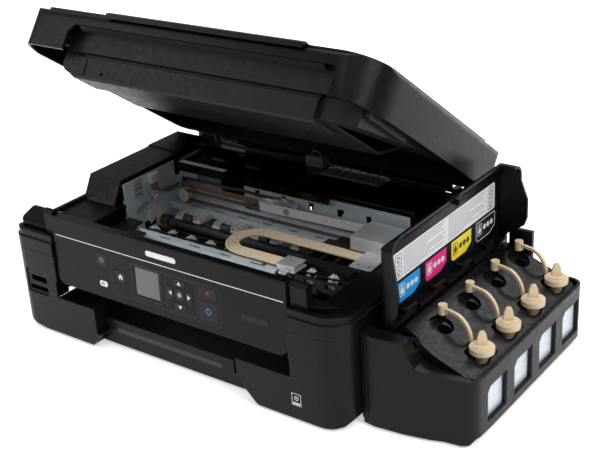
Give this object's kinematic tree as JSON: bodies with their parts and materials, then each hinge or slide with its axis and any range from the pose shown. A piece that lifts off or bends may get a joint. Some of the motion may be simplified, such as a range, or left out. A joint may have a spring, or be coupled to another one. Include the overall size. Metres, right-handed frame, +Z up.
{
  "type": "inkjet printer",
  "caption": "Inkjet printer with a lift-up flatbed scanner, tilting control panel, pull-out output tray and refillable ink tanks under a folding side cover.",
  "frame": {"origin": "centre of the bounding box on the table plane under the feet", "axes": "+X to the printer's right toward the tank unit, front toward -Y, +Z up"},
  "size_m": [0.4894, 0.3, 0.3131],
  "materials": {
    "housing_black": "fine textured",
    "gloss_black": "gloss",
    "panel_black": "satin",
    "inner_plastic": "fine textured",
    "mechanism_black": "satin",
    "sheet_steel": "zinc plated",
    "bright_cover": "silver satin",
    "roller_rubber": "ground",
    "roller_grey": "satin",
    "holder_white": "satin",
    "pulley_brass": "turned",
    "motor_steel": "plated",
    "belt_brown": "satin",
    "cream": "satin",
    "cable_white": "satin",
    "board_green": "solder resist",
    "supply_black": "satin",
    "felt": "felt",
    "foot_rubber": "matte",
    "scan_glass": "clear",
    "screen": "gloss",
    "keys": "satin",
    "tank_clear": "translucent"
  },
  "bodies": {
    "printer_body": {"base_case": "housing_black", "upper_housing": "housing_black", "rear_deck": "gloss_black", "chassis": "sheet_steel", "carriage_rail": "sheet_steel", "front_rail": "sheet_steel", "platen": "mechanism_black", "roller_holders": "holder_white", "drive_belt": "belt_brown", "carriage_motor": "motor_steel", "encoder_strip": "belt_brown", "ink_tubes": "cream", "tube_clamp": "bright_cover", "ribbon_cable": "cable_white", "carriage_bay_cover": "bright_cover", "side_duct": "mechanism_black", "power_supply": "supply_black", "main_board": "board_green", "feed_motor": "motor_steel", "waste_ink_pad": "felt", "rubber_feet": "foot_rubber", "chassis_screws": "motor_steel", "rear_sockets": "mechanism_black", "tank_case": "housing_black", "tank_deck": "inner_plastic", "filler_necks": "inner_plastic", "cap_wells": "inner_plastic", "ink_tanks": "tank_clear", "cap_tethers": "cream"},
    "scanner_unit": {"scanner_shell": "housing_black", "scanner_tray": "inner_plastic", "scanner_glass": "scan_glass", "scanner_hinges": "mechanism_black"},
    "scan_head": {"scan_head": "mechanism_black"},
    "document_cover": {"document_cover": "housing_black", "document_pad": "cable_white"},
    "control_panel": {"control_panel": "panel_black", "lcd_screen": "screen"},
    "output_tray": {"output_tray": "housing_black"},
    "tray_extension": {"tray_extension": "mechanism_black"},
    "feed_roller": {"feed_roller": "roller_rubber"},
    "eject_roller": {"eject_roller": "roller_grey"},
    "pinch_rollers": {"pinch_rollers": "roller_grey"},
    "print_carriage": {"print_carriage": "mechanism_black"},
    "idler_pulley": {"idler_pulley": "holder_white"},
    "motor_pulley": {"motor_pulley": "pulley_brass"},
    "paper_support": {"paper_support": "housing_black"},
    "edge_guide": {"edge_guide": "mechanism_black"},
    "tank_cover": {"tank_cover": "housing_black"},
    "power_button": {"power_button": "keys"},
    "home_button": {"home_button": "keys"},
    "up_button": {"up_button": "keys"},
    "down_button": {"down_button": "keys"},
    "left_button": {"left_button": "keys"},
    "right_button": {"right_button": "keys"},
    "ok_button": {"ok_button": "keys"},
    "stop_button": {"stop_button": "keys"},
    "start_button": {"start_button": "keys"},
    "filler_cap_1": {"filler_cap_1": "cream"},
    "filler_cap_2": {"filler_cap_2": "cream"},
    "filler_cap_3": {"filler_cap_3": "cream"},
    "filler_cap_4": {"filler_cap_4": "cream"}
  },
  "joints": [
    {"name": "scanner_hinge", "type": "hinge", "parent": "printer_body", "child": "scanner_unit", "pos_m": [0, 0.1404, 0.1209], "axis": [1, 0, 0], "range_deg": [0, 36]},
    {"name": "scan_head_travel", "type": "slide", "parent": "scanner_unit", "child": "scan_head", "axis": [1, 0, 0], "range_m": [0, 0.31]},
    {"name": "document_cover_hinge", "type": "hinge", "parent": "scanner_unit", "child": "document_cover", "pos_m": [0, 0.11439, 0.17255], "axis": [-1, 0, 0], "range_deg": [0, 75]},
    {"name": "panel_tilt", "type": "hinge", "parent": "printer_body", "child": "control_panel", "pos_m": [0, -0.1401, 0.12576], "axis": [-1, 0, 0], "range_deg": [0, 45]},
    {"name": "power_press", "type": "slide", "parent": "control_panel", "child": "power_button", "axis": [0, 0.9994, -0.0349], "range_m": [0, 0.0012], "stiffness_N_per_m": 300, "springref_m": -0.0006},
    {"name": "home_press", "type": "slide", "parent": "control_panel", "child": "home_button", "axis": [0, 0.9994, -0.0349], "range_m": [0, 0.0012], "stiffness_N_per_m": 300, "springref_m": -0.0006},
    {"name": "up_press", "type": "slide", "parent": "control_panel", "child": "up_button", "axis": [0, 0.9994, -0.0349], "range_m": [0, 0.0012], "stiffness_N_per_m": 300, "springref_m": -0.0006},
    {"name": "down_press", "type": "slide", "parent": "control_panel", "child": "down_button", "axis": [0, 0.9994, -0.0349], "range_m": [0, 0.0012], "stiffness_N_per_m": 300, "springref_m": -0.0006},
    {"name": "left_press", "type": "slide", "parent": "control_panel", "child": "left_button", "axis": [0, 0.9994, -0.0349], "range_m": [0, 0.0012], "stiffness_N_per_m": 300, "springref_m": -0.0006},
    {"name": "right_press", "type": "slide", "parent": "control_panel", "child": "right_button", "axis": [0, 0.9994, -0.0349], "range_m": [0, 0.0012], "stiffness_N_per_m": 300, "springref_m": -0.0006},
    {"name": "ok_press", "type": "slide", "parent": "control_panel", "child": "ok_button", "axis": [0, 0.9994, -0.0349], "range_m": [0, 0.0012], "stiffness_N_per_m": 300, "springref_m": -0.0006},
    {"name": "stop_press", "type": "slide", "parent": "control_panel", "child": "stop_button", "axis": [0, 0.9994, -0.0349], "range_m": [0, 0.0012], "stiffness_N_per_m": 300, "springref_m": -0.0006},
    {"name": "start_press", "type": "slide", "parent": "control_panel", "child": "start_button", "axis": [0, 0.9994, -0.0349], "range_m": [0, 0.0012], "stiffness_N_per_m": 300, "springref_m": -0.0006},
    {"name": "output_tray_slide", "type": "slide", "parent": "printer_body", "child": "output_tray", "axis": [0, -1, 0], "range_m": [0, 0.12]},
    {"name": "tray_extension_slide", "type": "slide", "parent": "output_tray", "child": "tray_extension", "axis": [0, -1, 0], "range_m": [0, 0.09]},
    {"name": "feed_spin", "type": "hinge", "parent": "printer_body", "child": "feed_roller", "pos_m": [0, 0.008, 0.064], "axis": [1, 0, 0], "continuous": true},
    {"name": "eject_spin", "type": "hinge", "parent": "printer_body", "child": "eject_roller", "pos_m": [0, -0.038, 0.062], "axis": [1, 0, 0], "continuous": true},
    {"name": "pinch_spin", "type": "hinge", "parent": "printer_body", "child": "pinch_rollers", "pos_m": [0, 0.0056, 0.0742], "axis": [1, 0, 0], "continuous": true},
    {"name": "carriage_travel", "type": "slide", "parent": "printer_body", "child": "print_carriage", "axis": [1, 0, 0], "range_m": [-0.196, 0]},
    {"name": "idler_spin", "type": "hinge", "parent": "printer_body", "child": "idler_pulley", "pos_m": [-0.17875, 0.0324, 0.0865], "axis": [0, 1, 0], "continuous": true},
    {"name": "motor_spin", "type": "hinge", "parent": "printer_body", "child": "motor_pulley", "pos_m": [0.08125, 0.0324, 0.0865], "axis": [0, 1, 0], "continuous": true},
    {"name": "paper_support_hinge", "type": "hinge", "parent": "printer_body", "child": "paper_support", "pos_m": [0, 0.1425, 0.103], "axis": [-1, 0, 0], "range_deg": [0, 28]},
    {"name": "edge_guide_slide", "type": "slide", "parent": "printer_body", "child": "edge_guide", "axis": [1, 0, 0], "range_m": [0, 0.1]},
    {"name": "tank_cover_hinge", "type": "hinge", "parent": "printer_body", "child": "tank_cover", "pos_m": [0.16225, -0.0058, 0.092], "axis": [0, -1, 0], "range_deg": [-90, 0]},
    {"name": "filler_cap_1_lift", "type": "slide", "parent": "printer_body", "child": "filler_cap_1", "axis": [0, 0, 1], "range_m": [0, 0.03]},
    {"name": "filler_cap_2_lift", "type": "slide", "parent": "printer_body", "child": "filler_cap_2", "axis": [0, 0, 1], "range_m": [0, 0.03]},
    {"name": "filler_cap_3_lift", "type": "slide", "parent": "printer_body", "child": "filler_cap_3", "axis": [0, 0, 1], "range_m": [0, 0.03]},
    {"name": "filler_cap_4_lift", "type": "slide", "parent": "printer_body", "child": "filler_cap_4", "axis": [0, 0, 1], "range_m": [0, 0.03]}
  ],
  "couplings": [
    {"joint": "eject_spin", "follows": "feed_spin", "ratio": 1.3636},
    {"joint": "pinch_spin", "follows": "feed_spin", "ratio": -1.2791},
    {"joint": "idler_spin", "follows": "carriage_travel", "rad_per_m": -200},
    {"joint": "motor_spin", "follows": "carriage_travel", "rad_per_m": -200}
  ]
}
